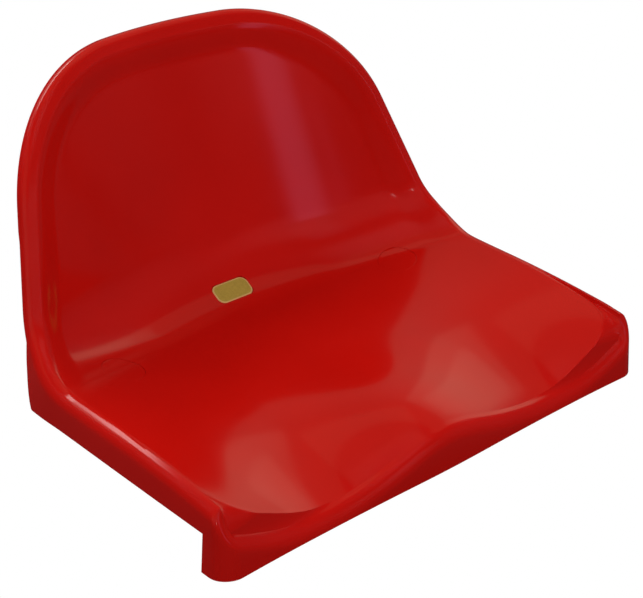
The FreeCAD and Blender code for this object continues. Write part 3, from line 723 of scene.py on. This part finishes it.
def shellMaterial():
    # glossy moulded red, with faint cloudiness, fine wear in the gloss and a slight waviness
    mat, tree, shader = newMaterial("shellRed")
    look = redFinish
    cloud = noise(tree, look["cloudScale"], 3)
    ramp(tree, cloud, look["darker"], look["lighter"]).into(shader, "Base Color")
    fine = noise(tree, look["fineScale"], 4)
    (fine * look["roughSpread"] + look["roughness"]).into(shader, "Roughness")
    shader.inputs["IOR"].default_value = look["ior"]
    bump(tree, shader, noise(tree, look["waveScale"], 2), look["waveStrength"], look["waveDistance"])
    return mat


# rim is the bevel's gold painted paler than the face, a painted highlight where the bevel catches the light
goldFinish = {"darker": (0.42, 0.28, 0.045), "lighter": (0.5, 0.34, 0.06), "rim": (0.72, 0.44, 0.16),
              "grainScale": 500, "roughness": 0.35, "roughSpread": 0.15, "rimGloss": 0.05,
              "metallic": 0.5, "grainStrength": 0.2, "grainDistance": 0.0001}


def plateMaterial():
    # satin gold face with a polished bevel, its paler gold a painted highlight
    mat, tree, shader = newMaterial("plateGold")
    look = goldFinish
    grain = noise(tree, look["grainScale"], 3, 0.6)
    mark = tree.nodes.new("ShaderNodeAttribute")
    mark.attribute_name = "rim"
    rim = Wire(tree, mark.outputs["Fac"])
    colour = tree.nodes.new("ShaderNodeMix")
    colour.data_type = "RGBA"
    rim.into(colour, "Factor")
    face = ramp(tree, grain, look["darker"], look["lighter"])
    tree.links.new(face.socket, colour.inputs["A"])
    # painted highlight: the bevel takes the paler rim gold
    colour.inputs["B"].default_value = (*look["rim"], 1)
    tree.links.new(colour.outputs["Result"], shader.inputs["Base Color"])
    rough = grain * look["roughSpread"] + look["roughness"] - rim * look["rimGloss"]
    rough.into(shader, "Roughness")
    shader.inputs["Metallic"].default_value = look["metallic"]
    bump(tree, shader, grain, look["grainStrength"], look["grainDistance"])
    return mat


fixingFinishes = {
    "zinc": {"darker": (0.5, 0.5, 0.47), "lighter": (0.65, 0.65, 0.62), "roughness": 0.25,
             "metallic": 1.0, "scale": 300},
    "rubber": {"darker": (0.01, 0.01, 0.01), "lighter": (0.02, 0.02, 0.02), "roughness": 0.6,
               "metallic": 0.0, "scale": 400},
    "film": {"darker": (0.015, 0.015, 0.015), "lighter": (0.03, 0.03, 0.03), "roughness": 0.7,
             "metallic": 0.0, "scale": 700},
}


def fixingMaterial(name):
    # one noise varies the colour, the gloss and the surface of a plain finish
    mat, tree, shader = newMaterial(name)
    look = fixingFinishes[name]
    value = noise(tree, look["scale"], 4)
    ramp(tree, value, look["darker"], look["lighter"]).into(shader, "Base Color")
    (value * 0.15 + look["roughness"]).into(shader, "Roughness")
    shader.inputs["Metallic"].default_value = look["metallic"]
    bump(tree, shader, value, 0.15, 0.0002)
    return mat


def dress():
    # red on the moulding and the caps, gold on the plate, plain finishes on the frame's own pieces
    red = shellMaterial()
    shell.data.materials.clear()
    for obj in [shell] + caps:
        obj.data.materials.append(red)
    plateObj.data.materials.append(plateMaterial())
    zinc, rubber, film = map(fixingMaterial, ("zinc", "rubber", "film"))
    for name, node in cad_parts.items():
        if not node.hide_render:
            mat = rubber if "sealing" in name else film if "adhesive" in name else zinc
            node.data.materials.clear()
            node.data.materials.append(mat)
            node.data.polygons.foreach_set("use_smooth", np.zeros(len(node.data.polygons), bool))


dress()
print("materials")

# camera as fitted to the photograph, in mm and radians, with the image in pixels
shot = {"azimuth": -0.71345, "height": 0.48271, "focal": 1509.7, "target": (-56.24, -123.54, 100.0),
        "distance": 1104.4, "centre": (315.57, 292.50), "image": (643, 598), "sensor": 36}


def placeCamera():
    # stands back from the target by azimuth and height, shifted to the photograph's centre
    data = bpy.data.cameras.new("camera")
    cam = bpy.data.objects.new("camera", data)
    bpy.context.scene.collection.objects.link(cam)
    az, el = shot["azimuth"], shot["height"]
    back = Vector((np.sin(az) * np.cos(el), -np.cos(az) * np.cos(el), np.sin(el)))
    cam.location = (Vector(shot["target"]) + back * shot["distance"]) * mm
    cam.rotation_euler = back.to_track_quat("Z", "Y").to_euler()
    width, height = shot["image"]
    data.sensor_width = shot["sensor"]
    data.lens = shot["focal"] / width * shot["sensor"]
    data.shift_x = (width / 2 - shot["centre"][0]) / width
    data.shift_y = (shot["centre"][1] - height / 2) / width
    data.clip_start = 0.05
    bpy.context.scene.camera = cam


placeCamera()

# lamps light the moulding and stay out of its gloss, cards are what the gloss shows; azimuth from
# the rear towards the viewer's right and height in degrees, each as the two ends of its span, all
# about the aim, at a distance in metres
room = {"aim": (0, -0.08, 0.08), "lampsAway": 2.5, "cardsAway": 2.4, "floor": -0.0315, "floorHalf": 6,
        "floorGrey": (0.04, 0.04, 0.04), "haze": (0.9, 0.92, 1.0), "hazeStrength": 0.05}
lamps = {
    "front": {"azimuth": (150, 225), "height": (12, 40), "strength": 3.2, "colour": (1, 0.98, 0.96)},
    "rearLeft": {"azimuth": (298, 5), "height": (24, 58), "strength": 4.0, "colour": (1, 1, 1)},
    "rearRight": {"azimuth": (38, 92), "height": (10, 44), "strength": 3.4, "colour": (1, 1, 1)},
    "right": {"azimuth": (95, 140), "height": (0, 40), "strength": 0.8, "colour": (1, 1, 1)},
    "left": {"azimuth": (230, 290), "height": (-1, 28), "strength": 1.9, "colour": (1, 1, 1)},
    "top": {"azimuth": (130, 230), "height": (60, 89), "strength": 4.0, "colour": (1, 1, 1)},
}
cards = {
    "crest": {"azimuth": (334, 16), "height": (42, 51), "strength": 5.0, "colour": (1, 0.85, 0.8)},
    "halo": {"azimuth": (328, 22), "height": (27, 42), "strength": 0.6, "colour": (1, 0.9, 0.75)},
    "lowWall": {"azimuth": (54, 85), "height": (8, 48), "strength": 0.24, "colour": (1, 1, 0.72)},
    "lowest": {"azimuth": (62, 82), "height": (16, 40), "strength": 0.22, "colour": (1, 1, 0.72)},
    "wall": {"azimuth": (18, 86), "height": (8, 70), "strength": 0.15, "colour": (1, 1, 0.65)},
    "ceiling": {"azimuth": (330, 70), "height": (58, 90), "strength": 0.12, "colour": (1, 1, 0.65)},
    "streak": {"azimuth": (165, 172), "height": (-2, 18), "strength": 0.85, "colour": (1, 0.5, 0.85)},
    "faint": {"azimuth": (175, 176), "height": (-2, 10), "strength": 0.45, "colour": (1, 0.5, 0.85)},
    "glow": {"azimuth": (160, 172), "height": (20, 45), "strength": 0.13, "colour": (1, 0.8, 1)},
    "spark": {"azimuth": (202, 204), "height": (11, 13), "strength": 12.0, "colour": (1, 0.9, 0.9)},
    "side": {"azimuth": (240, 282), "height": (12, 58), "strength": 0.15, "colour": (1, 0.9, 0.6)},
}


def areaLight(name, spec, away, glossy):
    # a rectangle "away" metres from the aim that fills its span and sends out its strength
    turn = spec["azimuth"][1] - spec["azimuth"][0]
    wide = radians(turn if turn > 0 else turn + 360)
    az = radians(spec["azimuth"][0]) + wide / 2
    low, high = map(radians, spec["height"])
    el = (low + high) / 2
    toLight = Vector((sin(az) * cos(el), cos(az) * cos(el), sin(el)))
    data = bpy.data.lights.new(name, "AREA")
    data.shape = "RECTANGLE"
    data.size = 2 * away * np.tan(wide / 2) * cos(el)
    data.size_y = 2 * away * np.tan((high - low) / 2)
    data.energy = spec["strength"] * pi * data.size * data.size_y
    data.color = spec["colour"]
    obj = bpy.data.objects.new(name, data)
    bpy.context.scene.collection.objects.link(obj)
    obj.location = Vector(room["aim"]) + toLight * away
    obj.rotation_euler = toLight.to_track_quat("Z", "Y").to_euler()
    obj.visible_glossy = glossy
    obj.visible_diffuse = not glossy


def whiteToCamera(tree, outKind, whiteKind, otherKind, colour):
    # a surface or world that is plain white to the camera and the other shader to all other rays
    tree.nodes.clear()
    out = tree.nodes.new(outKind)
    path = tree.nodes.new("ShaderNodeLightPath")
    mix = tree.nodes.new("ShaderNodeMixShader")
    white = tree.nodes.new(whiteKind)
    white.inputs["Color"].default_value = (1, 1, 1, 1)
    other = tree.nodes.new(otherKind)
    other.inputs["Color"].default_value = (*colour, 1)
    tree.links.new(path.outputs["Is Camera Ray"], mix.inputs["Fac"])
    tree.links.new(other.outputs[0], mix.inputs[1])
    tree.links.new(white.outputs[0], mix.inputs[2])
    tree.links.new(mix.outputs[0], out.inputs["Surface"])
    return other


def studio():
    # floor, world, lamps and cards
    z, half = room["floor"], room["floorHalf"]
    floor = tempMesh("floor", [(-half, -half, z), (half, -half, z), (half, half, z), (-half, half, z)],
                     [(0, 1, 2, 3)])
    mat = bpy.data.materials.new("floorWhite")
    mat.use_nodes = True
    whiteToCamera(mat.node_tree, "ShaderNodeOutputMaterial", "ShaderNodeEmission",
                  "ShaderNodeBsdfDiffuse", room["floorGrey"])
    floor.data.materials.append(mat)
    world = bpy.data.worlds.new("room")
    bpy.context.scene.world = world
    world.use_nodes = True
    haze = whiteToCamera(world.node_tree, "ShaderNodeOutputWorld", "ShaderNodeBackground",
                         "ShaderNodeBackground", room["haze"])
    haze.inputs["Strength"].default_value = room["hazeStrength"]
    for name, spec in lamps.items():
        areaLight(name, spec, room["lampsAway"], False)
    for name, spec in cards.items():
        areaLight(name, spec, room["cardsAway"], True)


studio()
bpy.context.scene.view_settings.view_transform = "Standard"
print("studio")
saveSize()
